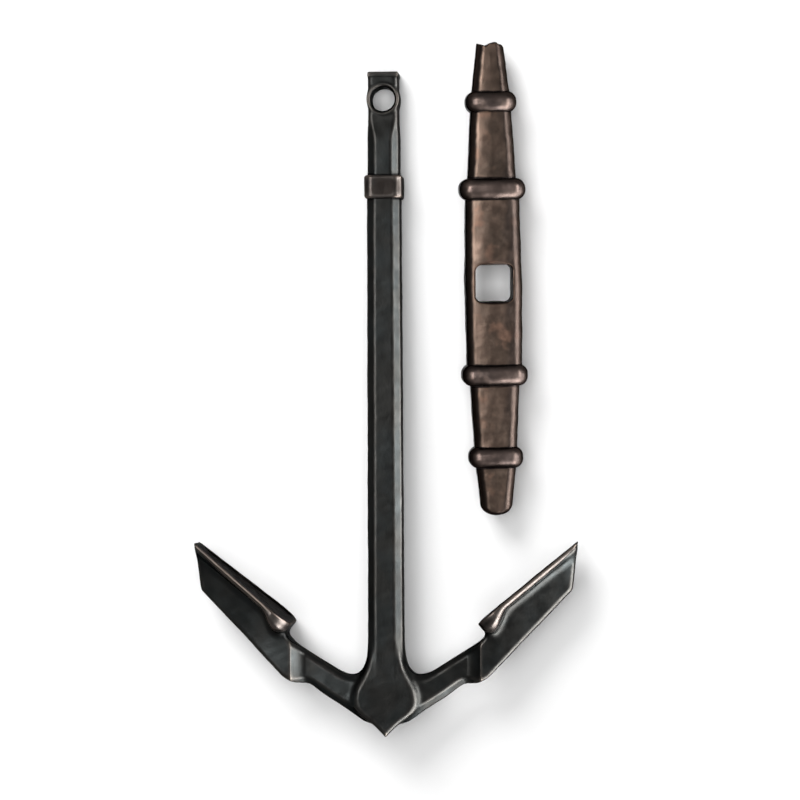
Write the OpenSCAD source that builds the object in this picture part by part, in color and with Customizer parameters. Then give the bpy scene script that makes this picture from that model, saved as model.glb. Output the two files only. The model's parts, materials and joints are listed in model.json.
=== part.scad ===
// Fisherman-pattern anchor with fixed flukes, its stock drawn off and laid beside it.
// Millimetres. +X towards the right fluke, +Y towards the head, +Z up from the floor.
// The anchor lies on its two palms and its head, so its crown is a little raised.

/* [Shank] */
// Length from the point of the crown to the end of the head
shank_len = 663; // [640:1:690]
// Width of the shank where it leaves the crown
shank_w_low = 35.5; // [34:0.5:37]
// Width of the shank just below the collar
shank_w_high = 33.5; // [32:0.5:35]
// Thickness of the shank, front to back, where it leaves the crown
shank_t_low = 34; // [32:0.5:35]
// Thickness of the shank, front to back, just below the collar
shank_t_high = 32; // [31:0.5:34]
// Bevel along the four edges of the shank
shank_bevel = 5.5; // [2:0.5:6]

/* [Seat and collar] */
// Width and thickness of the square seat that the stock slides over
seat_size = 32; // [28:0.5:32.5]
// Width of the collar that stops the stock, more than the mortise
collar_w = 38.5; // [38:0.5:42]
// Length of the collar along the shank
collar_len = 24; // [18:1:30]
// Distance from the end of the head to the collar
collar_from_end = 103; // [90:1:120]

/* [Head] */
// Diameter of the eye for the shackle
eye_d = 23.5; // [18:0.5:24]
// Distance from the end of the head to the eye's centre
eye_from_end = 27.5; // [24:0.5:34]
// Thickness of the flattened head, front to back
head_t = 27; // [22:0.5:30]
// Depth of the countersink at each mouth of the eye
eye_rim = 3; // [1:0.5:4]
// Diameter of the round boss about the eye
boss_d = 32.5; // [31:0.5:34]
// Length of the square cap on the end of the head
cap_len = 6; // [4:0.5:8]

/* [Crown] */
// Thickness of the proud shield in the middle of the crown
shield_t = 37; // [35:0.5:44]
// Height of the joint between crown and shank above the point of the crown
crown_h = 80; // [79:0.5:90]
// Radius of the hollow between the shank and each arm
crown_fillet = 18; // [12:0.5:20]

/* [Arms] */
// Angle of each arm, measured up from square across the shank
arm_angle = 32; // [28:1:36]
// Depth of an arm in the plane of the anchor, between crown and fluke
arm_depth = 29.5; // [27:0.5:32]
// Thickness of the arms' necks, front to back
arm_t = 24; // [20:0.5:30]
// Thickness of the web that backs each palm, front to back
web_t = 33; // [28:0.5:36]
// Length of an arm from the shank's centre line to the bill
arm_len = 266; // [255:1:272]
// Drop of the heel below the arm's lower edge
heel_drop = 5.5; // [3:0.5:8]
// Bevel along the edges of the arms and crown
arm_bevel = 4; // [2:0.5:5]

/* [Palms] */
// Greatest width of a palm
palm_w = 90; // [70:1:100]
// Width of a palm at the bill
bill_w = 38; // [30:1:50]
// Thickness of the palm plates
palm_t = 6.5; // [6:0.5:9]
// Extra thickness behind the inner end of a palm
lip_drop = 10; // [6:0.5:10]
// Length over which that extra thickness thins away
lip_len = 36; // [26:1:50]
// Distance along the arm to the inner end of a palm
palm_start = 138; // [130:1:150]
// Extra angle of a palm over its arm
palm_lift = 7.2; // [4:0.1:10]
// Radius of the rounded shoulders at the inner end of a palm
shoulder_r = 22; // [12:1:30]
// Bevel round the edge of a palm
palm_bevel = 2.5; // [1:0.5:3.5]

/* [Stock] */
// Length of the stock from its eye-side end to the middle of the mortise
stock_upper = 240; // [225:1:250]
// Length of the stock from the middle of the mortise to its other end
stock_lower = 231; // [225:1:250]
// Width of the stock at the mortise
stock_w = 57; // [52:1:60]
// Depth of the stock at the mortise
stock_d = 46; // [40:1:50]
// Side of the square mortise that takes the shank
mortise = 36; // [35:0.5:37.5]
// Width of the bevel round each mouth of the mortise
mortise_rim = 3; // [1:0.5:4]
// Distance from the mortise to the middle of the inner hoop on the longer half
upper_inner_at = 93; // [80:1:100]
// Distance from the mortise to the middle of the inner hoop on the shorter half
lower_inner_at = 91; // [80:1:100]
// Distance from the mortise to the middle of the outer hoop on the longer half
upper_hoop_at = 179; // [165:1:190]
// Distance from the mortise to the middle of the outer hoop on the shorter half
lower_hoop_at = 173; // [165:1:185]
// Length of each hoop along the stock
hoop_len = 22; // [16:1:28]
// How far the hoops stand proud of the stock
hoop_rise = 4.5; // [3:0.5:7]

/* [Layout] */
// Distance of the stock's centre line from the shank's
stock_x = 108.5; // [100:0.5:160]
// Roll of the stock as it lies
stock_roll = 7; // [0:1:12]
// Angle of the stock to the shank as it lies
stock_yaw = 0.4; // [-3:0.1:3]

/* [Hidden] */
$fn = 64;
skin = 0.01;                 // thickness of the end slices that a taper is drawn between
far = 1000;                  // side of the half-space blocks
steps = 6;                   // chords in each rounded corner

// Colours
dark_iron = [0.16, 0.17, 0.18];
worn_iron = [0.22, 0.21, 0.21];
bronze = [0.42, 0.31, 0.25];
dark_bronze = [0.33, 0.27, 0.24];

// Places along the shank, measured from the point of the crown
collar_top = shank_len - collar_from_end;
collar_base = collar_top - collar_len;
eye_y = shank_len - eye_from_end;
head_base = eye_y - boss_d / 2 - 6;

// Where the arms' lower edges would meet, on the shank's centre line
arm_root_y = 2.2;
// The arm starts square across, just outside the crown's hollow
arm_joint = 70;

// The palm's inner face climbs from this height over the arm's lower edge
palm_face_v = arm_depth + 16.5;
palm_len = (arm_len - palm_start) / cos(palm_lift) - 2;
lip_flat = 8;                // how far the inner end keeps its full thickness
web_start = 84;              // distance of the web's end from the shank's centre line

// How the anchor lies: the widest place of each palm and the back of the head touch
palm_angle = arm_angle + palm_lift;
palm_touch_y = arm_root_y + palm_start * sin(arm_angle)
    + (palm_face_v - palm_t) * cos(arm_angle)
    + shoulder_r * sin(palm_angle) + (palm_t - palm_bevel) * cos(palm_angle);
head_touch_z = head_t / 2 + 0.5;
pitch = atan((palm_w / 2 - head_touch_z) / (shank_len - palm_touch_y));
lift = head_touch_z * cos(pitch) + shank_len * sin(pitch);

// The crown's point and the stock's upper end are equally far from the middle
half_len = 346.15;
anchor_y = -half_len + shield_t / 2 * sin(pitch);
stock_y = half_len - stock_upper * cos(stock_yaw) - 0.3;
// Half-height of the largest hoop when rolled, so that it just touches the floor
hoop_w = stock_w + 2 * hoop_rise;
hoop_d = stock_d + 2 * hoop_rise;
hoop_bevel = 12;
stock_z = hoop_d / 2 * cos(stock_roll) + (hoop_w / 2 - hoop_bevel) * sin(stock_roll);

// A square with its corners cut off, w wide and t deep
function bevelled_square(w, t, b) = [
    [w / 2 - b, -t / 2], [w / 2, -t / 2 + b], [w / 2, t / 2 - b], [w / 2 - b, t / 2],
    [-w / 2 + b, t / 2], [-w / 2, t / 2 - b], [-w / 2, -t / 2 + b], [-w / 2 + b, -t / 2]];

// Points of an arc about a centre, from one angle to another
function arc(c, r, from, to) =
    [for (i = [0 : steps]) let (a = from + (to - from) * i / steps) c + r * [cos(a), sin(a)]];

// An outline from its right half, which starts on the centre line
function both_sides(half) =
    concat(half, [for (i = [len(half) - 1 : -1 : 1]) [-half[i][0], half[i][1]]]);

// A point given along and above an arm's lower edge, in the plane of the anchor
function on_arm(u, v) = [u * cos(arm_angle) - v * sin(arm_angle),
                         arm_root_y + u * sin(arm_angle) + v * cos(arm_angle)];

// Straight bar along +Y from y0 to y1
module bar(y0, y1, w, t, b) {
    translate([0, y0, 0]) rotate([-90, 0, 0])
        linear_extrude(y1 - y0) polygon(bevelled_square(w, t, b));
}

// Tapered bar along +Y; each end is [y, width, thickness]
module taper(low, high, b) {
    hull() {
        bar(low[0], low[0] + skin, low[1], low[2], b);
        bar(high[0] - skin, high[0], high[1], high[2], b);
    }
}

// Plate of an outline, t thick about z = 0, with a bevel b all round both faces
module bevelled_plate(t, b) {
    linear_extrude(t - 2 * b, center = true) children();
    minkowski() {
        linear_extrude(t - 2 * b, center = true) offset(delta = -b) children();
        union() {
            cylinder(h = b, r1 = b, r2 = 0, $fn = 8);
            mirror([0, 0, 1]) cylinder(h = b, r1 = b, r2 = 0, $fn = 8);
        }
    }
}

// Everything further along the right arm than u
module beyond_arm(u) {
    translate(concat(on_arm(u, 0), 0)) rotate(arm_angle)
        translate([0, -far / 2, -far / 2]) cube(far);
}

// Everything nearer the crown along the right arm than u
module before_arm(u) {
    translate(concat(on_arm(u, 0), 0)) rotate(arm_angle)
        translate([-far, -far / 2, -far / 2]) cube(far);
}

// Puts children at the inner end of the right palm's back, +X along the palm
module on_palm() {
    translate(concat(on_arm(palm_start, palm_face_v - palm_t), 0)) rotate(palm_angle) children();
}

// Everything on the inner side of the right palm's back, thick end and all
module above_palm_back() {
    on_palm() linear_extrude(far, center = true)
        polygon([[-2, -lip_drop], [lip_flat, -lip_drop], [lip_len, 0], [far, 0], [far, far],
                 [-2, far]]);
}

// Cuts the right fluke off along its end, which runs nearly along the shank
module beyond_bill() {
    translate(concat(on_arm(arm_len, palm_face_v + 17), 0))
        rotate(-6) translate([0, -far / 2, -far / 2]) cube(far);
}

module lay_anchor() {
    translate([0, anchor_y, lift]) rotate([-pitch, 0, 0]) children();
}

module lay_stock() {
    translate([stock_x, stock_y, stock_z]) rotate([0, stock_roll, stock_yaw]) children();
}

module shank() {
    color(dark_iron) lay_anchor() difference() {
        union() {
            taper([crown_h, shank_w_low, shank_t_low],
                  [collar_base, shank_w_high, shank_t_high], shank_bevel);
            bar(collar_base, head_base, seat_size, seat_size, shank_bevel);
            bar(head_base, shank_len, seat_size - 2, head_t, shank_bevel / 2);
            bar(shank_len - cap_len, shank_len, seat_size - 1, head_t + 1, 1);
            translate([0, eye_y, 0]) cylinder(h = head_t, d = boss_d, center = true);
        }
        translate([0, eye_y, 0]) {
            cylinder(h = head_t + 2, d = eye_d, center = true);
            for (side = [0, 1]) mirror([0, 0, side]) translate([0, 0, head_t / 2 - eye_rim])
                cylinder(h = eye_rim + 1, d1 = eye_d, d2 = eye_d + 2 * (eye_rim + 1) * 0.8);
        }
    }
}

module collar() {
    color(worn_iron) lay_anchor() difference() {
        union() {
            bar(collar_base + 3, collar_top - 3, collar_w, collar_w - 1, 5);
            taper([collar_base, collar_w - 4, collar_w - 5],
                  [collar_base + 3, collar_w, collar_w - 1], 5);
            taper([collar_top - 3, collar_w, collar_w - 1],
                  [collar_top, collar_w - 4, collar_w - 5], 5);
        }
        bar(collar_base - 1, collar_top + 1, seat_size, seat_size, shank_bevel);
    }
}

// The crown's outline between the arms, with the hollows up to the shank
module crown_root() {
    side = shank_w_low / 2;
    hollow_y = arm_root_y + (arm_depth + crown_fillet
        + (side + crown_fillet) * sin(arm_angle)) / cos(arm_angle);
    half = concat([[0, arm_root_y], on_arm(arm_joint + 20, 0), on_arm(arm_joint + 20, arm_depth)],
                  arc([side + crown_fillet, hollow_y], crown_fillet, 270 + arm_angle, 180),
                  [[side, crown_h + 20]]);
    polygon(both_sides(half));
}

// The proud shield: narrow nose, full cheeks, then in to the shank
module shield() {
    half = [[0, 0], [9, 8], [20, 15], [29, 27], [31.5, 37], [30, 48], [24, 58],
            [shank_w_low / 2 + 0.8, 70], [shank_w_low / 2, crown_h + 20]];
    polygon(both_sides(half));
}

module crown() {
    color(dark_iron) lay_anchor() difference() {
        union() {
            bevelled_plate(shield_t, arm_bevel + 1) shield();
            bevelled_plate(arm_t, arm_bevel) crown_root();
        }
        for (side = [0, 1]) mirror([side, 0, 0]) beyond_arm(arm_joint);
        translate([-far / 2, crown_h, -far / 2]) cube(far);
    }
}

// Outline of an arm, run on past its joint, its end and the palm's back face
module arm_outline() {
    lower_rise = tan(14);
    heel_u = palm_start - 20;
    polygon([on_arm(arm_joint - 20, 0), on_arm(heel_u - 26, 1), on_arm(heel_u - 12, -heel_drop),
             on_arm(heel_u, -heel_drop),
             on_arm(arm_len - 30, (arm_len - 30 - heel_u) * lower_rise - heel_drop),
             on_arm(arm_len - 16, 36), on_arm(arm_len + 10, 70), on_arm(palm_start + 14, 60),
             on_arm(palm_start + 1.2, arm_depth), on_arm(arm_joint - 20, arm_depth)]);
}

module arm() {
    difference() {
        union() {
            bevelled_plate(arm_t, arm_bevel) arm_outline();
            bevelled_plate(web_t, arm_bevel) intersection() {
                arm_outline();
                translate([web_start, -far / 2]) square(far);
            }
        }
        before_arm(arm_joint);
        above_palm_back();
        beyond_bill();
    }
}

module left_arm() { color(dark_iron) lay_anchor() mirror([1, 0, 0]) arm(); }
module right_arm() { color(dark_iron) lay_anchor() arm(); }

// Half-width outline of a palm from its rounded inner end to the bill
module palm_outline() {
    r = shoulder_r;
    half = concat(arc([r, palm_w / 2 - r], r, 180, 90), [[palm_len + 12, bill_w / 2 - 3]]);
    polygon(concat(half, [for (i = [len(half) - 1 : -1 : 0]) [half[i][0], -half[i][1]]]));
}

// Plate of the palm's outline from the height low up to its inner face
module palm_plate(low) {
    translate([0, (palm_t + low) / 2, 0]) rotate([90, 0, 0])
        bevelled_plate(palm_t - low, palm_bevel) palm_outline();
}

module palm() {
    difference() {
        on_palm() {
            palm_plate(0);
            intersection() {
                palm_plate(-lip_drop);
                linear_extrude(far, center = true)
                    polygon([[-1, -lip_drop - 1], [lip_flat, -lip_drop - 1],
                             [lip_flat, -lip_drop], [lip_len, 0], [lip_len, palm_t / 2],
                             [-1, palm_t / 2]]);
            }
        }
        beyond_bill();
    }
}

module left_palm() { color(worn_iron) lay_anchor() mirror([1, 0, 0]) palm(); }
module right_palm() { color(worn_iron) lay_anchor() palm(); }

// Bare stock's [distance, width, depth] at its stations, from the mortise to one end.
// The longer half is also the slimmer one.
stock_bevel = 7;
upper_stations = [[0, stock_w, stock_d],
                  [upper_inner_at, stock_w - 3.5, stock_d - 3],
                  [upper_inner_at + hoop_len / 2, stock_w - 8.5, stock_d - 6],
                  [upper_hoop_at, stock_w - 17, stock_d - 11],
                  [stock_upper, stock_w - 31, stock_d - 20]];
lower_stations = [[0, stock_w, stock_d],
                  [lower_inner_at, stock_w - 2, stock_d - 2],
                  [lower_inner_at + hoop_len / 2, stock_w - 8, stock_d - 6],
                  [lower_hoop_at, stock_w - 15, stock_d - 10],
                  [stock_lower, stock_w - 27, stock_d - 18]];

module stock_half(stations) {
    for (i = [1 : len(stations) - 1]) taper(stations[i - 1], stations[i], stock_bevel);
}

// Square flare at the upper mouth of the mortise
module mortise_mouth() {
    wide = mortise + 2 * mortise_rim;
    hull() {
        translate([0, 0, stock_d / 2 - mortise_rim]) cube([mortise, mortise, skin], center = true);
        translate([0, 0, stock_d / 2 + skin]) cube([wide, wide, skin], center = true);
    }
}

module bare_stock() {
    difference() {
        union() {
            stock_half(upper_stations);
            mirror([0, 1, 0]) stock_half(lower_stations);
        }
        cube([mortise, mortise, far], center = true);
        mortise_mouth();
        mirror([0, 0, 1]) mortise_mouth();
    }
}

module stock() { color(bronze) lay_stock() bare_stock(); }

// Hoop at a signed distance along the stock, w wide and d deep outside
module hoop(at, w, d) {
    edge = 5;
    low = at - hoop_len / 2;
    high = at + hoop_len / 2;
    color(dark_bronze) lay_stock() difference() {
        union() {
            taper([low, w - edge, d - edge], [low + edge, w, d], hoop_bevel);
            bar(low + edge, high - edge, w, d, hoop_bevel);
            taper([high - edge, w, d], [high, w - edge, d - edge], hoop_bevel);
        }
        bare_stock();
    }
}

module upper_outer_hoop() { hoop(upper_hoop_at, hoop_w - 15, hoop_d - 10); }
module upper_inner_hoop() { hoop(upper_inner_at, hoop_w, hoop_d); }
module lower_inner_hoop() { hoop(-lower_inner_at, hoop_w, hoop_d); }
module lower_outer_hoop() { hoop(-lower_hoop_at, hoop_w - 11, hoop_d - 8); }

shank();
collar();
crown();
left_arm();
right_arm();
left_palm();
right_palm();
stock();
upper_outer_hoop();
upper_inner_hoop();
lower_inner_hoop();
lower_outer_hoop();
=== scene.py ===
"""Fisherman anchor and its drawn stock: the visible meshes and materials round the CAD frame.

Every visible piece is the zero surface of a distance field. The fields are written in
millimetres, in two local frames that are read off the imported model: the anchor's, with its
origin at the point of the crown and +Y up the shank, and the stock's, with its origin in the
middle of the mortise and +Y along the stock. One mesh is cut for each CAD node.
"""

import json
import math

import bmesh
import bpy
import numpy as np
from mathutils import Matrix, Vector


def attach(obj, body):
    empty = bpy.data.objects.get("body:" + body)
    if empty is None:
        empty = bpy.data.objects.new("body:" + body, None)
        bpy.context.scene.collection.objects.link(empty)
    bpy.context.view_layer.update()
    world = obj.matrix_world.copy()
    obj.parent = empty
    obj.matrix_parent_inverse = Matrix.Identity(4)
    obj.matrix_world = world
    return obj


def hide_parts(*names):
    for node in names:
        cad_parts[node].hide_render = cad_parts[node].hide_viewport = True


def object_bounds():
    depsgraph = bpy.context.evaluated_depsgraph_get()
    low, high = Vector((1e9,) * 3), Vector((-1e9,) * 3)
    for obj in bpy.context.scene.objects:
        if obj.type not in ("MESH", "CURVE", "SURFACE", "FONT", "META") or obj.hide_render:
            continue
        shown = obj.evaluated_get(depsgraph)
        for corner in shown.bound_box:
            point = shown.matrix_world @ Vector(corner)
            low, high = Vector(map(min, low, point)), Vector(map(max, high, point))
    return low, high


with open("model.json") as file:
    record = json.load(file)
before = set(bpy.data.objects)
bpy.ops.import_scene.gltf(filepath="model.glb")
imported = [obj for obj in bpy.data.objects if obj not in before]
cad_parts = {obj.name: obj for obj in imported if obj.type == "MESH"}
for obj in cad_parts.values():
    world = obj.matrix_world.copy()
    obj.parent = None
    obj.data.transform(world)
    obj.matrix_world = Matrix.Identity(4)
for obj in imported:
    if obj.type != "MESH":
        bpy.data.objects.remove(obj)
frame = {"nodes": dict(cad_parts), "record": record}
record = frame["record"]
cad_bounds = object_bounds()

MM = 0.001
STEP = 1.0    # side of the sampling cells, mm
FINE_STEP = 0.8                      # and for the collar and the hoops
MARGIN = 3.0                         # from a piece to the faces of its sampling block, mm
SEED = 11
rng = np.random.default_rng(SEED)


# ---------------------------------------------------------------- local frames
class LocalFrame:
    """Right-handed axes and an origin in the row's frame; local points are millimetres."""

    def __init__(self, origin, x, y, z):
        self.origin = np.array(origin, float)
        self.axes = np.array([x, y, z], float)

    def to_row(self, points):
        return self.origin + (points * MM) @ self.axes

    def box(self, node):
        """Lowest and highest corner of a CAD node in this frame."""
        mesh = frame["nodes"][node].data
        co = np.empty(len(mesh.vertices) * 3)
        mesh.vertices.foreach_get("co", co)
        local = (co.reshape(-1, 3) - self.origin) @ self.axes.T / MM
        return local.min(0), local.max(0)

    def moved(self, offset):
        """The same axes with the origin at a local point."""
        return LocalFrame(self.to_row(np.array(offset, float)), *self.axes)


def anchor_frame():
    x = np.array([1.0, 0.0, 0.0])
    z = np.array(EYE["axis"])
    z = z / np.linalg.norm(z)
    at_eye = LocalFrame(EYE["pos_m"], x, np.cross(z, x), z)
    crown_low, _ = at_eye.box("crown")
    return at_eye.moved([0, crown_low[1], 0])


def stock_frame():
    low, high = (np.array(c) for c in record["physics"]["openings"][0]["box_m"])
    roll, yaw = math.radians(STOCK_ROLL), math.radians(STOCK_YAW)
    x = np.array([math.cos(roll) * math.cos(yaw), math.cos(roll) * math.sin(yaw), -math.sin(roll)])
    y = np.array([-math.sin(yaw), math.cos(yaw), 0.0])
    return LocalFrame((low + high) / 2, x, y, np.cross(x, y))


# ---------------------------------------------------------------- dimensions, mm
EYE = next(m for m in record["mounts"] if m["name"] == "eye")
STOCK_ROLL = 7.0             # degrees, as the stock lies
STOCK_YAW = 0.4

ANCHOR = anchor_frame()
STOCK = stock_frame()

shank_low, shank_high = ANCHOR.box("shank")
collar_low, collar_high = ANCHOR.box("collar")
_, crown_high = ANCHOR.box("crown")
stock_low, stock_high = STOCK.box("stock")

SHANK_LEN = shank_high[1]
CROWN_H = shank_low[1]
COLLAR_Y = collar_low[1], collar_high[1]
EYE_Y = (np.array(EYE["pos_m"]) - ANCHOR.origin) @ ANCHOR.axes[1] / MM
EYE_R = EYE["dims"]["r_mm"]
COUNTERSINK = 3.0            # depth of the eye's widened mouths
COUNTERSINK_SLOPE = 0.5

SHANK_FOOT = 35.5, 34.0      # width and thickness at the crown
SHANK_TOP = 33.5, 32.0       # and under the collar
SEAT = 32.0
HEAD = 30.0, 27.0
BOSS_R = 16.25
SHANK_BEVEL = 6.5
SHANK_SOFT = 1.2             # rounding of its edges
HEAD_BEVEL = 2.6
BEVEL_LEAN = 0.58, 0.81      # across and up, of a bar's bevel
BEVEL_CUT = 0.7              # depth of the cut, as a part of the bevel's width
CAP_LEN = 6.0                # of the square cap on the end of the head
CAP_PROUD = 0.4              # how far it stands out from the head

ARM_ANGLE = math.radians(32)
ARM_ROOT_Y = 2.2             # where the arms' lower edges would meet
ARM_DEPTH = 29.5
ARM_JOINT = 70.0             # along the arm, where arm and crown part
ARM_LEN = 266.0
NECK_HALF = 9.0              # half thickness of an arm's neck
ROOT_HALF = 11.8             # where the arms leave the shield
WEB_BACK = 17.0              # of the web behind the palm, where it meets the palm
WEB_HEEL = 16.0              # at the heel
WEB_BILL = 8.0               # and at the web's lower edge, out towards the bill
WEB_START = 95.0             # distance of the web's end from the shank's centre line
COVE = 14.0                  # width of the hollow that climbs from neck to web
HEEL_AT = 118.0
HEEL_DROP = 5.5
HOLLOW_R = 31.0              # between shank and arm
SHIELD_HALF = 18.3
SHIELD_ROUND = 5.0

PALM_AT = 138.0
PALM_FACE = 46.0             # height of the palm's inner face over the arm's lower edge
PALM_LIFT = math.radians(7.2)
PALM_T = 6.5
PALM_BACK = PALM_FACE - PALM_T
LIP_DROP = 10.0              # extra thickness behind the palm's inner end
LIP_END = 8.0, 36.0          # where that thickness starts to thin away, and where it is gone
PALM_CHAMFER = 3.8           # along the back edge of the palm
WELD = 9.0                   # width of the fillet between a web and the back of its palm
PALM_HALF = 44.7
BILL_HALF = 16.0
SHOULDER_R = 22.0
PALM_DISH = 1.4              # hollow of the palm's inner face
BILL_TURN = math.radians(-6)
BILL_RISE = 17.0             # height of the bill over the palm's inner end

STOCK_W = 57.0
STOCK_D = 46.0
MORTISE_HALF = 18.0
HOOP_LEN = 22.0
STOCK_FLAT = 0.25            # part of a face's half width that stays flat
STOCK_SLOPE = 0.24           # and how steeply the rest falls away
MOUTH_DEPTH = 3.0            # of the mortise's widened mouths
MOUTH_SLOPE = 0.8

IRON_SKIN = 0.2              # how far a surface lies inside its CAD shape, before its ripples
STOCK_SKIN = 0.25
HOOP_SKIN = 0.2
IRON_OVERLAP = 0.8           # how far a piece reaches under the surface that it sits on
HOOP_OVERLAP = 1.0

MAX_MOVE = 0.6               # of a vertex in one round of settling
EDGE_REACH = 2.5, 6.0        # distances over which a surface is tested for outer edges
CREASE_REACH = 1.5, 3.0, 6.0
LOW_SIDE_SHADE = 0.45              # how much more painted shade the stock's low side gets


# ---------------------------------------------------------------- field helpers
def lerp(a, b, t):
    return a + (b - a) * t


def smoothstep(t, start=0.0, end=1.0):
    t = np.clip((t - start) / (end - start), 0, 1)
    return t * t * (3 - 2 * t)


def soft_max(a, b, k):
    h = np.maximum(k - np.abs(a - b), 0) / k
    return np.maximum(a, b) + h * h * k / 4


def soft_min(a, b, k):
    return -soft_max(-a, -b, k)


def round_corner(a, b, r):
    """Inside both a and b, with the edge between them rounded to r."""
    return np.minimum(np.maximum(a, b), -r) + np.hypot(np.maximum(a + r, 0), np.maximum(b + r, 0))


def round_valley(a, b, r):
    """Inside a or b, with the valley between them filled to r."""
    return np.maximum(np.minimum(a, b), r) - np.hypot(np.maximum(r - a, 0), np.maximum(r - b, 0))


def bevelled_bar(dx, dz, bevel, soft):
    """A bar's section with its corners cut off, a little nearer to its top face than to its side."""
    bevel_face = BEVEL_LEAN[0] * dx + BEVEL_LEAN[1] * dz + BEVEL_CUT * bevel
    return soft_max(soft_max(dx, dz, soft), bevel_face, soft)


def bevelled_edge(a, b, bevel, soft=1.6):
    """Inside both a and b, with the edge between them cut off flat and then softened."""
    return soft_max(soft_max(a, b, soft), (a + b + bevel) * math.sqrt(0.5), soft)


def edge_line(at, stations):
    """Height and slope factor of a run of straight edges at the places at."""
    xs, ys = zip(*stations)
    soft = 3.0
    heights = sum(np.interp(at + d, xs, ys) for d in (-soft, 0, soft)) / 3
    slope = (np.interp(at + soft, xs, ys) - np.interp(at - soft, xs, ys)) / (2 * soft)
    return heights, 1 / np.hypot(1, slope)


class Waviness:
    """Slow seeded ripples, as in hand-finished cast metal."""

    def __init__(self, longest, shortest, count=9):
        way = rng.normal(size=(count, 3))
        way /= np.linalg.norm(way, axis=1)[:, None]
        length = np.exp(rng.uniform(math.log(shortest), math.log(longest), count))
        self.waves = way * (2 * math.pi / length)[:, None]
        self.phase = rng.uniform(0, 2 * math.pi, count)

    def __call__(self, x, y, z):
        total = 0
        for (kx, ky, kz), phase in zip(self.waves, self.phase):
            total = total + np.sin(kx * x + ky * y + kz * z + phase)
        return total / math.sqrt(len(self.phase))


forged = Waviness(70, 16)
pitted = Waviness(16, 7, 12)
cast = Waviness(50, 12)


# ---------------------------------------------------------------- anchor fields
def arm_coordinates(x, y):
    across, up = np.abs(x), y - ARM_ROOT_Y
    c, s = math.cos(ARM_ANGLE), math.sin(ARM_ANGLE)
    return across * c + up * s, up * c - across * s


def beyond_bill(x, y):
    """Distance past the plane that ends both flukes, nearly along the shank."""
    c, s = math.cos(ARM_ANGLE), math.sin(ARM_ANGLE)
    reach_x = ARM_LEN * c - (PALM_FACE + BILL_RISE) * s
    reach_y = ARM_ROOT_Y + ARM_LEN * s + (PALM_FACE + BILL_RISE) * c
    return (np.abs(x) - reach_x) * math.cos(BILL_TURN) + (y - reach_y) * math.sin(BILL_TURN)


def shank_field(x, y, z):
    t = np.clip((y - CROWN_H) / (COLLAR_Y[0] - CROWN_H), 0, 1)
    width = lerp(SHANK_FOOT[0], SHANK_TOP[0], t)
    thick = lerp(SHANK_FOOT[1], SHANK_TOP[1], t)
    above = smoothstep(y, COLLAR_Y[0] + 4, COLLAR_Y[0] + 12)
    width, thick = lerp(width, SEAT, above), lerp(thick, SEAT, above)
    head = smoothstep(y, EYE_Y - BOSS_R - 26, EYE_Y - BOSS_R - 2)
    width, thick = lerp(width, HEAD[0], head), lerp(thick, HEAD[1], head)
    bevel = lerp(SHANK_BEVEL, HEAD_BEVEL, head)
    bar = bevelled_bar(np.abs(x) - width / 2, np.abs(z) - thick / 2, bevel, SHANK_SOFT)
    bar = soft_max(bar, y - (SHANK_LEN - 1.2), 1.5)
    boss = round_corner(np.hypot(x, y - EYE_Y) - BOSS_R, np.abs(z) - HEAD[1] / 2, 1.5)
    cap_sides = round_corner(np.abs(x) - HEAD[0] / 2 - CAP_PROUD, np.abs(z) - HEAD[1] / 2 - CAP_PROUD, 1.6)
    cap = round_corner(cap_sides, np.abs(y - SHANK_LEN + CAP_LEN / 2 + 0.2) - CAP_LEN / 2, 1.6)
    solid = soft_min(soft_min(bar, boss, 2.5), cap, 0.6)
    depth = np.clip(HEAD[1] / 2 - np.abs(z), 0, COUNTERSINK)
    eye = np.hypot(x, y - EYE_Y) - (EYE_R + COUNTERSINK_SLOPE * (COUNTERSINK - depth))
    return soft_max(solid, -eye, 1.6)


def collar_field(x, y, z):
    middle = (COLLAR_Y[0] + COLLAR_Y[1]) / 2
    half = (COLLAR_Y[1] - COLLAR_Y[0]) / 2
    wide = collar_high[0] - 0.15
    thick = collar_high[2] - 0.15
    band = bevelled_bar(np.abs(x) - wide, np.abs(z) - thick, 5.0, 1.5)
    return round_corner(band, np.abs(y - middle) - half, 3.2)


def shield_field(x, y, z):
    half = [(-10, -11), (0, 0), (8, 7.5), (15, 15), (20, 22), (28, 29.5), (37, 31.5), (48, 30), (58, 24),
            (70, 18.3), (82, 15.6), (96, 11.5), (110, 6)]
    edge, slope = edge_line(y, half)
    outline = (np.abs(x) - edge) * slope
    face = np.abs(z) - lerp(SHIELD_HALF, SHANK_FOOT[1] / 2 - 2.5, smoothstep(y, 44, 104))
    return np.maximum(round_corner(outline, face, SHIELD_ROUND), y - 108)


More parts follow.
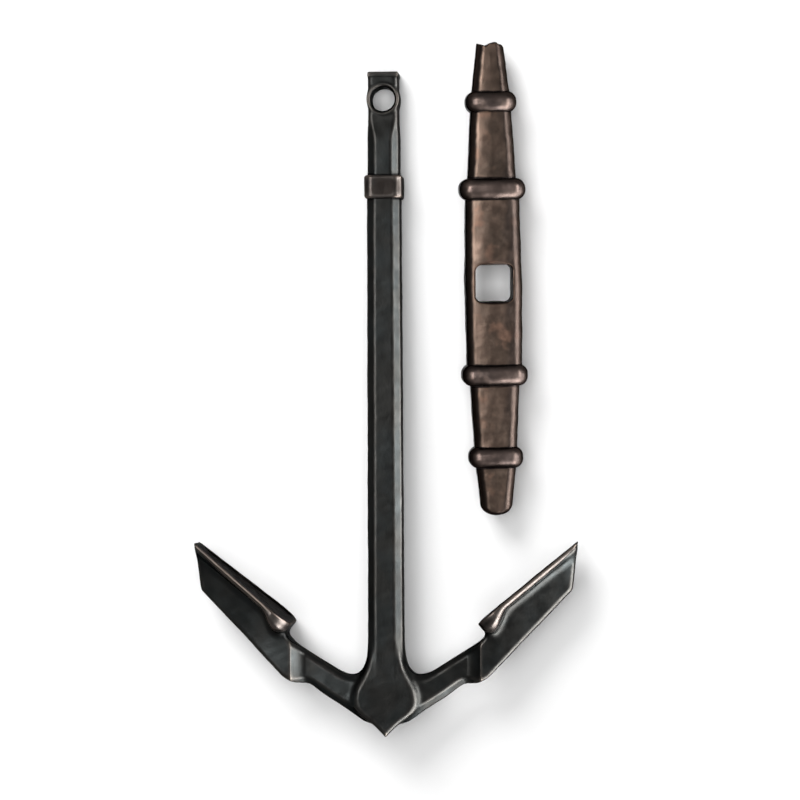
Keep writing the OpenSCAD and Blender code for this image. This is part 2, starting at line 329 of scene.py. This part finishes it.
def arms_field(x, y, z):
    """Both arms, their webs and the root between them, up to the palms' backs."""
    u, v = arm_coordinates(x, y)
    lower = [(0, 7), (18, 7), (23, 0), (70, 0.2), (HEEL_AT - 26, 1.2), (HEEL_AT - 11, -HEEL_DROP),
             (HEEL_AT, -HEEL_DROP), (ARM_LEN - 30, 23.9), (ARM_LEN - 16, 36), (ARM_LEN + 10, 70)]
    rise = math.tan(PALM_LIFT)
    upper = [(0, ARM_DEPTH), (PALM_AT - 9, ARM_DEPTH), (PALM_AT + 2, ARM_DEPTH + 3),
             (PALM_AT + LIP_END[0], ARM_DEPTH + 4), (PALM_AT + LIP_END[1], PALM_BACK + 1 + rise * LIP_END[1]),
             (ARM_LEN + 20, PALM_BACK + 1 + rise * (ARM_LEN + 20 - PALM_AT))]
    low, low_slope = edge_line(u, lower)
    high, high_slope = edge_line(u, upper)
    arm_low = (low - v) * low_slope
    arm_high = (v - high) * high_slope
    shank_side = round_corner(np.abs(x) - SHANK_FOOT[0] / 2, y - 120, 1)
    top = round_valley(arm_high, shank_side, HOLLOW_R)
    outline = soft_max(soft_max(top, arm_low, 1.5), beyond_bill(x, y), 2.0)
    across = np.abs(x)
    up_web = np.clip((v - low) / np.maximum(high - low, 4), 0, 1)
    web_low = lerp(WEB_HEEL, WEB_BILL, smoothstep(u, HEEL_AT, HEEL_AT + 70))
    web = lerp(web_low, WEB_BACK, up_web) - 2.0 * smoothstep(u, ARM_LEN - 80, ARM_LEN)
    climb = np.clip((across - WEB_START) / COVE + 1, 0, 1)
    waist = NECK_HALF - 1.8 * smoothstep(across, WEB_START - COVE - 22, WEB_START - COVE)
    half = lerp(waist, web, climb ** 1.5)
    half = half + (ROOT_HALF - NECK_HALF) * (1 - smoothstep(across, 22, 70))
    face = np.abs(z) - half
    bevel = lerp(lerp(7.5, 5.0, up_web), 2.4, smoothstep(across, 75, 105))
    return bevelled_edge(outline, face, bevel)


def palm_coordinates(x, y):
    u, v = arm_coordinates(x, y)
    c, s = math.cos(PALM_LIFT), math.sin(PALM_LIFT)
    du, dv = u - PALM_AT, v - PALM_BACK
    return du * c + dv * s, dv * c - du * s


def palm_field(x, y, z):
    along, height = palm_coordinates(x, y)
    length = (ARM_LEN - PALM_AT) / math.cos(PALM_LIFT) + 10
    side = math.atan2(PALM_HALF - BILL_HALF, length - SHOULDER_R)
    flank = (np.abs(z) - PALM_HALF + np.maximum(along - SHOULDER_R, 0) * math.tan(side)) * math.cos(side)
    outline = round_corner(flank, -along, SHOULDER_R)
    outline = soft_max(outline, beyond_bill(x, y), 3.0)
    dish = PALM_DISH * smoothstep(-outline, 5, 14)
    lip = LIP_DROP * (1 - smoothstep(along, *LIP_END))
    front = bevelled_edge(outline, height - (PALM_T - dish), 1.2, 1.2)
    back = bevelled_edge(outline, -height - lip, PALM_CHAMFER + 0.25 * lip, 2.5)
    return soft_max(front, back, 1.2)


def iron_ripple(x, y, z):
    return IRON_SKIN + 0.10 * forged(x, y, z) + 0.035 * pitted(x, y, z)


def bars_field(x, y, z):
    """Shank, crown and arms as one forging."""
    crown = soft_min(shield_field(x, y, z), arms_field(x, y, z), 9.0)
    shank = np.maximum(shank_field(x, y, z), 40 - y)
    return soft_min(crown, shank, 1.5) + iron_ripple(x, y, z)


def palms_field(x, y, z):
    return palm_field(x, y, z) + iron_ripple(x, y, z)


def collar_band_field(x, y, z):
    shank = shank_field(x, y, z) + iron_ripple(x, y, z)
    return np.maximum(collar_field(x, y, z) + iron_ripple(x, y, z), -shank - IRON_OVERLAP)


def arm_and_weld_field(x, y, z):
    """Arms with the small fillet up to the palm, hollowed where the palm itself is."""
    palm = palms_field(x, y, z)
    welded = soft_max(soft_min(bars_field(x, y, z), palm, WELD), beyond_bill(x, y) + 0.2, 2.0)
    along, height = palm_coordinates(x, y)
    inside_palm = np.minimum(height - PALM_T / 2, along + 3)
    return np.maximum(np.maximum(welded, inside_palm), -palm - IRON_OVERLAP)


def anchor_field(x, y, z):
    body = np.minimum(bars_field(x, y, z), collar_field(x, y, z) + iron_ripple(x, y, z))
    return soft_max(soft_min(body, palms_field(x, y, z), WELD), beyond_bill(x, y) + 0.2, 2.0)


# ---------------------------------------------------------------- stock fields
def taper_values(y):
    """Half width and half depth of the bare stock at the distance y from the mortise."""
    upper = [(0, 0, 0), (93, 3.5, 3), (104, 8.5, 6), (179, 17, 11), (240, 31, 20)]
    lower = [(0, 0, 0), (91, 2, 2), (102, 8, 6), (173, 15, 10), (231, 27, 18)]
    width, depth = (
        np.where(y > 0, np.interp(y, [s[0] for s in upper], [s[i] for s in upper]),
                 np.interp(-y, [s[0] for s in lower], [s[i] for s in lower]))
        for i in (1, 2))
    return (STOCK_W - width) / 2, (STOCK_D - depth) / 2


def fall_away(x, half_w):
    """How far a face has dropped at x: flat in the middle, a broad soft bevel to each side."""
    return STOCK_SLOPE * soft_max(np.abs(x) - STOCK_FLAT * half_w, 0, 9.0)


def bare_stock_field(x, y, z):
    half_w, half_d = taper_values(y)
    crowned = np.abs(z) - half_d + fall_away(x, half_w)
    bar = soft_max(round_corner(np.abs(x) - half_w, crowned, 5.0),
                   (np.abs(x) - half_w + crowned + 5) * math.sqrt(0.5), 3.0)
    nub = 1.5 * np.sin(0.33 * x + 0.4) + 0.6 * np.sin(0.95 * x - 0.35 * z)
    top = y - (stock_high[1] - 3.6) - nub
    foot = stock_low[1] - y + 0.02 * x * x
    return soft_max(soft_max(bar, top, 1.2), foot, 6.0)


def mortise_field(x, y, z):
    """Distance to the square mortise, which opens out at both mouths."""
    mouth = np.maximum(np.abs(z) - STOCK_D / 2 + MOUTH_DEPTH, 0) * MOUTH_SLOPE
    return round_corner(np.abs(x) - MORTISE_HALF - mouth, np.abs(y) - MORTISE_HALF - mouth, 6.0)


def stock_ripple(x, y, z):
    return 0.16 * cast(x, y, z) + 0.05 * pitted(x, y, z)


def hoop_field(x, y, z, at, width, depth):
    crowned = np.abs(z) - depth / 2 + HOOP_SKIN + 0.7 * fall_away(x, width / 2)
    section = round_corner(np.abs(x) - width / 2 + HOOP_SKIN, crowned, 12.0)
    band = round_corner(section, np.abs(y - at) - HOOP_LEN / 2, 10.0)
    return band + HOOP_SKIN + stock_ripple(x, y, z)


def stock_body_field(x, y, z):
    body = soft_max(bare_stock_field(x, y, z), -mortise_field(x, y, z), 2.2)
    return body + STOCK_SKIN + stock_ripple(x, y, z)


HOOPS = {}
for hoop_name in ("upper_outer_hoop", "upper_inner_hoop", "lower_inner_hoop", "lower_outer_hoop"):
    hoop_low, hoop_high = STOCK.box(hoop_name)
    HOOPS[hoop_name] = ((hoop_low[1] + hoop_high[1]) / 2, hoop_high[0] - hoop_low[0],
                        hoop_high[2] - hoop_low[2])


def one_hoop_field(name):
    at, width, depth = HOOPS[name]

    def field(x, y, z):
        bare = stock_body_field(x, y, z)
        return np.maximum(hoop_field(x, y, z, at, width, depth), -bare - HOOP_OVERLAP)
    return field


def stock_all_field(x, y, z):
    total = stock_body_field(x, y, z)
    for at, width, depth in HOOPS.values():
        total = np.minimum(total, hoop_field(x, y, z, at, width, depth))
    return total


# ---------------------------------------------------------------- meshing
class Block:
    """A box of sampling cells, turned by an angle about z round a centre."""

    def __init__(self, low, high, centre=(0.0, 0.0), angle=0.0, step=STEP):
        self.low, self.step = np.array(low, float), step
        self.counts = np.ceil((np.array(high) - self.low) / step).astype(int) + 1
        self.centre, self.cos, self.sin = centre, math.cos(angle), math.sin(angle)

    def turned(self, a, b, c):
        return (self.centre[0] + a * self.cos - b * self.sin,
                self.centre[1] + a * self.sin + b * self.cos, c)

    def sample(self, field):
        """The field at every corner, made positive on the block's own faces."""
        lines = [self.low[i] + self.step * np.arange(self.counts[i]) for i in range(3)]
        points = self.turned(*np.meshgrid(*lines, indexing="ij", sparse=True))
        values = np.array(np.broadcast_to(field(*points), self.counts))
        for k in range(3):
            for end in (0, -1):
                face = [slice(None)] * 3
                face[k] = end
                values[tuple(face)] = np.maximum(values[tuple(face)], self.step / 2)
        return values

    def points(self, corners):
        return np.stack(self.turned(*(self.low + self.step * corners).T), 1)


def surface_net(field, block):
    """Vertices and quads of a field's zero surface, one vertex for each cell that it crosses."""
    values = block.sample(field)
    inside = values < 0
    cells = tuple(block.counts - 1)
    total = int(np.prod(cells))
    sums, hits, quads = np.zeros((total, 3)), np.zeros(total), []
    for a in range(3):
        b, c = (a + 1) % 3, (a + 2) % 3
        near, far = [slice(None)] * 3, [slice(None)] * 3
        near[a], far[a] = slice(0, -1), slice(1, None)
        near, far = tuple(near), tuple(far)
        crossing = inside[near] != inside[far]
        corner = np.argwhere(crossing)
        first, second = values[near][crossing], values[far][crossing]
        point = corner.astype(float)
        point[:, a] += first / (first - second)
        ring = []
        for down_b, down_c in ((0, 0), (1, 0), (1, 1), (0, 1)):
            cell = corner.copy()
            cell[:, b] -= down_b
            cell[:, c] -= down_c
            index = np.ravel_multi_index(tuple(cell.T), cells)
            ring.append(index)
            hits += np.bincount(index, minlength=total)
            for k in range(3):
                sums[:, k] += np.bincount(index, weights=point[:, k], minlength=total)
        ring = np.stack(ring, 1)
        outward = inside[near][crossing]
        ring[~outward] = ring[~outward][:, ::-1]
        quads.append(ring)
    used = hits > 0
    number = np.cumsum(used) - 1
    return block.points(sums[used] / hits[used][:, None]), number[np.concatenate(quads)]


def gradient(field, p, e=0.3):
    parts = []
    for k in range(3):
        d = np.zeros(3)
        d[k] = e
        parts.append(field(*(p + d).T) - field(*(p - d).T))
    return np.stack(parts, 1) / (2 * e)


def unit(v):
    return v / np.maximum(np.linalg.norm(v, axis=1), 1e-9)[:, None]


def settle(field, vertices, rounds=2):
    """Moves each vertex along the gradient onto the surface."""
    for _ in range(rounds):
        g = gradient(field, vertices)
        size = np.maximum((g * g).sum(1), 0.2)
        move = -field(*vertices.T)[:, None] * g / size[:, None]
        vertices = vertices + np.clip(move, -MAX_MOVE, MAX_MOVE)
    return vertices


def shading_marks(field, vertices):
    """How exposed (outer edges), how sunk (creases) and how steep the surface is at each vertex.

    What faces +X counts as steeper: the stock is rolled that way, and its low side is painted darker
    as shade. Only the two bronzes read it, to paint shade on steep faces.
    """
    normal = unit(gradient(field, vertices))
    side = unit(np.cross(normal, [0.31, 0.42, 0.85]))
    other = np.cross(normal, side)
    ways = (side, other, -side, -other, side + other, side - other, other - side, -side - other)
    exposed = sum(field(*(vertices + unit(way) * d).T) / d for way in ways for d in EDGE_REACH)
    exposed = exposed / (len(ways) * len(EDGE_REACH))
    # sunk: how shut in the surface is by its surroundings; the materials paint crease shade and patina from
    # it
    sunk = sum(1 - field(*(vertices + normal * d).T) / d for d in CREASE_REACH) / len(CREASE_REACH)
    steep = 1 - np.abs(normal[:, 2]) + LOW_SIDE_SHADE * np.maximum(normal[:, 0], 0)
    return np.clip(3 * exposed, 0, 1), np.clip(sunk, 0, 1), steep


def smooth_normals(mesh, place, field):
    """Shading normals from the field's gradient, and flat ones on the cut faces."""
    co = np.empty(len(mesh.vertices) * 3)
    mesh.vertices.foreach_get("co", co)
    local = (co.reshape(-1, 3) - place.origin) @ place.axes.T / MM
    at_vertex = unit(gradient(field, local)) @ place.axes
    corner = np.empty(len(mesh.loops), int)
    mesh.loops.foreach_get("vertex_index", corner)
    normals = at_vertex[corner]
    for flat in (f for f in mesh.polygons if not f.use_smooth):
        normals[list(flat.loop_indices)] = flat.normal
    mesh.normals_split_custom_set(normals.tolist())


def add_attribute(mesh, name, values):
    mesh.attributes.new(name, "FLOAT", "POINT").data.foreach_set("value", values.astype(np.float32))


def cut(bm, place, point, outward):
    """Cuts everything beyond a plane off and closes the mesh with a flat face."""
    point = Vector(place.to_row(np.array(point, float)))
    outward = Vector(np.array(outward, float) @ place.axes)
    geometry = bm.verts[:] + bm.edges[:] + bm.faces[:]
    bmesh.ops.bisect_plane(bm, geom=geometry, dist=1e-7, plane_co=point, plane_no=outward,
                           clear_outer=True)
    rim = [e for e in bm.edges if e.is_boundary]
    made = bmesh.ops.triangle_fill(bm, edges=rim, use_beauty=True, normal=outward)
    for f in made["geom"]:
        if isinstance(f, bmesh.types.BMFace):
            f.smooth = False


def field_piece(node, body, slot, place, field, whole, block, cuts=()):
    """The visible mesh of one node: the field's surface in a block, cut along planes."""
    vertices, quads = surface_net(field, block)
    vertices = settle(field, vertices)
    marks = shading_marks(whole, vertices)
    mesh = bpy.data.meshes.new(node + "_surface")
    mesh.from_pydata(place.to_row(vertices).tolist(), [], quads.tolist())
    mesh.polygons.foreach_set("use_smooth", np.ones(len(mesh.polygons), bool))
    for name, values in zip(("worn", "sunk", "steep"), marks):
        add_attribute(mesh, name, values)
    if cuts:
        bm = bmesh.new()
        bm.from_mesh(mesh)
        for point, outward in cuts:
            cut(bm, place, point, outward)
        bm.to_mesh(mesh)
        bm.free()
    smooth_normals(mesh, place, field)
    piece = bpy.data.objects.new(node + "_surface", mesh)
    bpy.context.scene.collection.objects.link(piece)
    piece.data.materials.append(MATERIALS[slot])
    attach(piece, body)
    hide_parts(node)


# ---------------------------------------------------------------- materials
class Nodes:
    """Short calls for building one material's node tree."""

    def __init__(self, name):
        self.material = bpy.data.materials.new(name)
        self.material.use_nodes = True
        self.tree = self.material.node_tree
        self.tree.nodes.clear()
        output = self.tree.nodes.new("ShaderNodeOutputMaterial")
        self.shader = self.tree.nodes.new("ShaderNodeBsdfPrincipled")
        self.tree.links.new(self.shader.outputs["BSDF"], output.inputs["Surface"])
        self.place = self.add("ShaderNodeTexCoord").outputs["Object"]

    def add(self, kind, **settings):
        node = self.tree.nodes.new(kind)
        for key, value in settings.items():
            setattr(node, key, value)
        return node

    def join(self, source, target):
        if isinstance(source, (int, float)):
            target.default_value = source
        else:
            self.tree.links.new(source, target)

    def mark(self, name):
        return self.add("ShaderNodeAttribute", attribute_name=name).outputs["Fac"]

    def noise(self, scale, detail=4.0, rough=0.6, stretch=None):
        node = self.add("ShaderNodeTexNoise")
        node.inputs["Scale"].default_value = scale
        node.inputs["Detail"].default_value = detail
        node.inputs["Roughness"].default_value = rough
        source = self.place
        if stretch:
            mapping = self.add("ShaderNodeMapping")
            mapping.inputs["Scale"].default_value = stretch
            self.join(source, mapping.inputs["Vector"])
            source = mapping.outputs["Vector"]
        self.join(source, node.inputs["Vector"])
        return node.outputs["Fac"]

    def ramp(self, source, low, high, start=0.0, end=1.0):
        """source from low..high becomes start..end, held outside."""
        node = self.add("ShaderNodeMapRange", interpolation_type="SMOOTHSTEP")
        for key, value in (("From Min", low), ("From Max", high), ("To Min", start), ("To Max", end)):
            node.inputs[key].default_value = value
        self.join(source, node.inputs["Value"])
        return node.outputs["Result"]

    def math(self, operation, a, b):
        node = self.add("ShaderNodeMath", operation=operation)
        self.join(a, node.inputs[0])
        self.join(b, node.inputs[1])
        return node.outputs[0]

    def blend(self, amount, a, b):
        """Colour a where amount is 0, b where it is 1; each is three numbers or an output."""
        node = self.add("ShaderNodeMix", data_type="RGBA")
        self.join(amount, node.inputs["Factor"])
        for value, target in ((a, node.inputs["A"]), (b, node.inputs["B"])):
            if isinstance(value, tuple):
                target.default_value = (*value, 1)
            else:
                self.join(value, target)
        return node.outputs["Result"]

    def bump(self, height, strength, distance, under=None):
        node = self.add("ShaderNodeBump")
        node.inputs["Strength"].default_value = strength
        node.inputs["Distance"].default_value = distance
        self.join(height, node.inputs["Height"])
        if under is not None:
            self.join(under, node.inputs["Normal"])
        return node.outputs["Normal"]

    def finish(self, colour, rough, normal, metallic=1.0, edge_tint=1.0):
        self.shader.inputs["Specular Tint"].default_value = (edge_tint, edge_tint, edge_tint, 1)
        self.join(colour, self.shader.inputs["Base Color"])
        self.join(rough, self.shader.inputs["Roughness"])
        self.join(normal, self.shader.inputs["Normal"])
        self.join(metallic, self.shader.inputs["Metallic"])
        return self.material


# near-black for the creases: dark patina that gathers there, with painted crease shade; the bronze one also
# takes the painted shade of steep faces
IRON_PATINA_AND_SHADE = 0.006, 0.006, 0.006
BRONZE_PATINA_AND_SHADE = 0.014, 0.011, 0.010


def iron(name, dark, cool, rubbed_colour, bare_colour, wear):
    """Blackened iron with a cool mottle, rubbed grey on bevels and bare along its sharpest edges."""
    n = Nodes(name)
    mottle = n.ramp(n.noise(28, 5), 0.38, 0.66)
    colour = n.blend(mottle, dark, cool)
    scratch = n.noise(900, 3, 0.7, stretch=(1, 0.12, 1))
    edge = n.math("ADD", n.mark("worn"), n.math("MULTIPLY", n.noise(90, 5), 0.30))
    rubbed = n.math("MULTIPLY", n.ramp(edge, 0.30, 0.62), wear)
    colour = n.blend(rubbed, colour, rubbed_colour)
    bare = n.math("MULTIPLY", n.ramp(edge, 0.70, 1.10), wear)
    colour = n.blend(bare, colour, bare_colour)
    # creases go near-black: partly patina in the hollows, partly painted crease shade
    patina_and_shade = n.ramp(n.mark("sunk"), 0.12, 0.55)
    colour = n.blend(patina_and_shade, colour, IRON_PATINA_AND_SHADE)
    rough = n.ramp(n.noise(75, 5), 0.3, 0.7, 0.28, 0.40)
    rough = n.math("ADD", rough, n.math("MULTIPLY", scratch, 0.08))
    normal = n.bump(n.noise(420, 4), 0.35, 0.0003)
    normal = n.bump(scratch, 0.12, 0.0002, normal)
    return n.finish(colour, rough, normal, edge_tint=0.12)


def bronze(name, brown, deep, rubbed_colour, wear, steepest):
    """Antiqued bronze: brown patina, near-black in the creases (patina and painted shade), painted shade on
    steep faces and its low side, coppery where it is rubbed.
    """
    n = Nodes(name)
    cloud = n.ramp(n.noise(22, 6), 0.35, 0.68)
    colour = n.blend(cloud, brown, deep)
    blush = n.ramp(n.noise(45, 3, 0.5), 0.54, 0.74)
    colour = n.blend(n.math("MULTIPLY", blush, 0.6), colour, rubbed_colour)
    edge = n.math("ADD", n.mark("worn"), n.math("MULTIPLY", n.noise(160, 4), 0.35))
    rubbed = n.math("MULTIPLY", n.ramp(edge, 0.45, 1.0), wear)
    colour = n.blend(rubbed, colour, rubbed_colour)
    # painted shade: steep faces, and most of all those facing +X (the stock's low side), go towards
    # near-black
    steep = n.ramp(n.mark("steep"), 0.025, steepest, 0, 0.9)
    # creases darken as well: patina and painted crease shade together
    patina_and_shade = n.math("MAXIMUM", n.ramp(n.mark("sunk"), 0.04, 0.30), steep)
    colour = n.blend(patina_and_shade, colour, BRONZE_PATINA_AND_SHADE)
    rough = n.ramp(n.noise(90, 5), 0.3, 0.7, 0.30, 0.42)
    normal = n.bump(n.noise(260, 5), 0.28, 0.0005)
    normal = n.bump(n.noise(900, 2), 0.25, 0.0002, normal)
    return n.finish(colour, rough, normal, edge_tint=0.3)


MATERIALS = {
    "blackened_iron": iron("blackened_iron", (0.021, 0.021, 0.020), (0.022, 0.024, 0.024),
                           (0.057, 0.053, 0.049), (0.128, 0.110, 0.096), 0.45),
    "worn_iron": iron("worn_iron", (0.024, 0.020, 0.018), (0.025, 0.024, 0.023),
                      (0.070, 0.061, 0.056), (0.11, 0.090, 0.078), 1.0),
    "brown_bronze": bronze("brown_bronze", (0.130, 0.090, 0.070), (0.084, 0.062, 0.049),
                           (0.21, 0.120, 0.085), 0.25, 0.15),
    "dark_bronze": bronze("dark_bronze", (0.128, 0.095, 0.083), (0.075, 0.058, 0.053),
                          (0.26, 0.19, 0.16), 0.45, 0.42),
}


# ---------------------------------------------------------------- anchor pieces
def arm_block(sign, low, high):
    """A block along one arm, from corners given along it, above its lower edge and across."""
    angle = ARM_ANGLE if sign > 0 else math.pi - ARM_ANGLE
    if sign < 0:
        low, high = (low[0], -high[1], low[2]), (high[0], -low[1], high[2])
    return Block(low, high, (0, ARM_ROOT_Y), angle)


def build_anchor():
    def piece(node, slot, field, block, cuts=()):
        field_piece(node, "anchor", slot, ANCHOR, field, anchor_field, block, cuts)

    up, down = (0, 1, 0), (0, -1, 0)
    side = 21.0    # takes in the whole width and thickness of the shank
    piece("shank", "blackened_iron", bars_field,
          Block((-side, CROWN_H - MARGIN, -side), (side, SHANK_LEN + MARGIN, side)),
          [((0, CROWN_H, 0), down)])
    side = collar_high[0] + MARGIN
    piece("collar", "worn_iron", collar_band_field,
          Block((-side, COLLAR_Y[0] - MARGIN, -side), (side, COLLAR_Y[1] + MARGIN, side), step=FINE_STEP))

    c, s = math.cos(ARM_ANGLE), math.sin(ARM_ANGLE)
    joint = ARM_JOINT * c, ARM_ROOT_Y + ARM_JOINT * s, 0
    side, thick = crown_high[0] + MARGIN + 1, crown_high[2] + MARGIN
    piece("crown", "blackened_iron", bars_field,
          Block((-side, -MARGIN, -thick), (side, CROWN_H + MARGIN, thick)),
          [((0, CROWN_H, 0), up), (joint, (c, s, 0)), ((-joint[0], joint[1], 0), (-c, s, 0))])

    arm_thick, palm_wide = WEB_BACK + MARGIN + 1, PALM_HALF + MARGIN
    arm_box = (ARM_JOINT - MARGIN, -9, -arm_thick), (ARM_LEN + 8, 62, arm_thick)
    palm_box = (PALM_AT - 8, PALM_BACK - LIP_DROP - 4, -palm_wide), (ARM_LEN + 12, 70, palm_wide)
    for hand, sign in (("right", 1), ("left", -1)):
        piece(f"{hand}_arm", "blackened_iron", arm_and_weld_field, arm_block(sign, *arm_box),
              [((sign * joint[0], joint[1], 0), (-sign * c, -s, 0))])
        piece(f"{hand}_palm", "worn_iron", palms_field, arm_block(sign, *palm_box))


# ---------------------------------------------------------------- stock pieces
def build_stock():
    def piece(node, slot, field, block):
        field_piece(node, "stock", slot, STOCK, field, stock_all_field, block)

    wide, deep = STOCK_W / 2 + MARGIN, STOCK_D / 2 + MARGIN
    piece("stock", "brown_bronze", stock_body_field,
          Block((-wide, stock_low[1] - MARGIN, -deep), (wide, stock_high[1] + MARGIN, deep)))
    for name, (at, width, depth) in HOOPS.items():
        wide, deep, half = width / 2 + MARGIN, depth / 2 + MARGIN, HOOP_LEN / 2 + MARGIN
        piece(name, "dark_bronze", one_hoop_field(name),
              Block((-wide, at - half, -deep), (wide, at + half, deep), step=FINE_STEP))


# ---------------------------------------------------------------- floor, light, camera
FLOOR_SIZE = 8.0
FLOOR_Z = -0.0004    # just under the lowest point of the CAD box


def build_floor():
    bpy.ops.mesh.primitive_plane_add(size=FLOOR_SIZE, location=(0, 0, FLOOR_Z))
    floor = bpy.context.object
    floor.name = "paper_floor"
    n = Nodes("paper")
    tint = n.blend(n.noise(3, 2), (0.90, 0.90, 0.90), (0.93, 0.93, 0.93))
    floor.data.materials.append(n.finish(tint, 0.9, n.bump(n.noise(200, 3), 0.02, 0.0002), 0.0))


def area_light(name, place, target, size, radiance, diffuse=True, glossy=True):
    """A soft box. diffuse=False leaves it out of matt surfaces, and glossy=False out of reflections."""
    light = bpy.data.lights.new(name, "AREA")
    light.shape = "RECTANGLE"
    light.size, light.size_y = size
    light.energy = radiance * math.pi * size[0] * size[1]
    lamp = bpy.data.objects.new(name, light)
    lamp.location = place
    lamp.rotation_euler = (Vector(target) - Vector(place)).to_track_quat("-Z", "Y").to_euler()
    lamp.visible_camera = False
    lamp.visible_diffuse = diffuse
    lamp.visible_glossy = glossy
    bpy.context.scene.collection.objects.link(lamp)


def build_light():
    """Key and overhead light the floor, and the other four are what the metal reflects."""
    world = bpy.data.worlds.new("studio")
    bpy.context.scene.world = world
    world.use_nodes = True
    world.node_tree.nodes["Background"].inputs["Color"].default_value = (0.30, 0.30, 0.30, 1)
    area_light("key", (-1.3, 2.6, 2.8), (0.05, 0, 0), (2.0, 2.0), 9.6, glossy=False)
    area_light("overhead", (0, 0.2, 4.0), (0, 0, 0), (2.8, 2.8), 3.7, glossy=False)
    area_light("left", (-1.35, 0.5, 2.6), (0, 0, 0.03), (1.6, 1.2), 9.5, diffuse=False)
    area_light("right", (1.15, -1.35, 0.80), (0, 0, 0.05), (1.1, 0.7), 14.0, diffuse=False)
    area_light("side", (1.9, 0.15, 0.86), (0, 0, 0.05), (1.7, 0.5), 26.0, diffuse=False)
    area_light("edge", (1.5, -1.05, 0.22), (0, 0, 0.05), (3.4, 0.42), 34.0, diffuse=False)


CAMERA_LEAN = math.radians(5), math.radians(3)    # from straight above, towards +X and +Y
CAMERA_ROLL = math.radians(-0.565)
CAMERA_AIM = 0.0145, -0.0101                      # from the middle of the CAD box, m
CAMERA_AIM_Z = 0.030
CAMERA_DISTANCE = 3.0
LENS, SENSOR = 135.1, 36.0                        # mm


def build_camera():
    middle = (cad_bounds[0] + cad_bounds[1]) / 2
    target = Vector((middle.x + CAMERA_AIM[0], middle.y + CAMERA_AIM[1], CAMERA_AIM_Z))
    back = Vector((math.tan(CAMERA_LEAN[0]), math.tan(CAMERA_LEAN[1]), 1)).normalized()
    right = Vector((0, 1, 0)).cross(back).normalized()
    up = back.cross(right)
    c, s = math.cos(CAMERA_ROLL), math.sin(CAMERA_ROLL)
    right, up = c * right + s * up, c * up - s * right
    data = bpy.data.cameras.new("camera")
    data.lens, data.sensor_width = LENS, SENSOR
    camera = bpy.data.objects.new("camera", data)
    turn = np.array([right, up, back]).T
    camera.matrix_world = Matrix(turn.tolist()).to_4x4()
    camera.location = target + CAMERA_DISTANCE * back
    bpy.context.scene.collection.objects.link(camera)
    bpy.context.scene.camera = camera
    bpy.context.scene.view_settings.view_transform = "Standard"


build_anchor()
build_stock()
build_floor()
build_light()
build_camera()
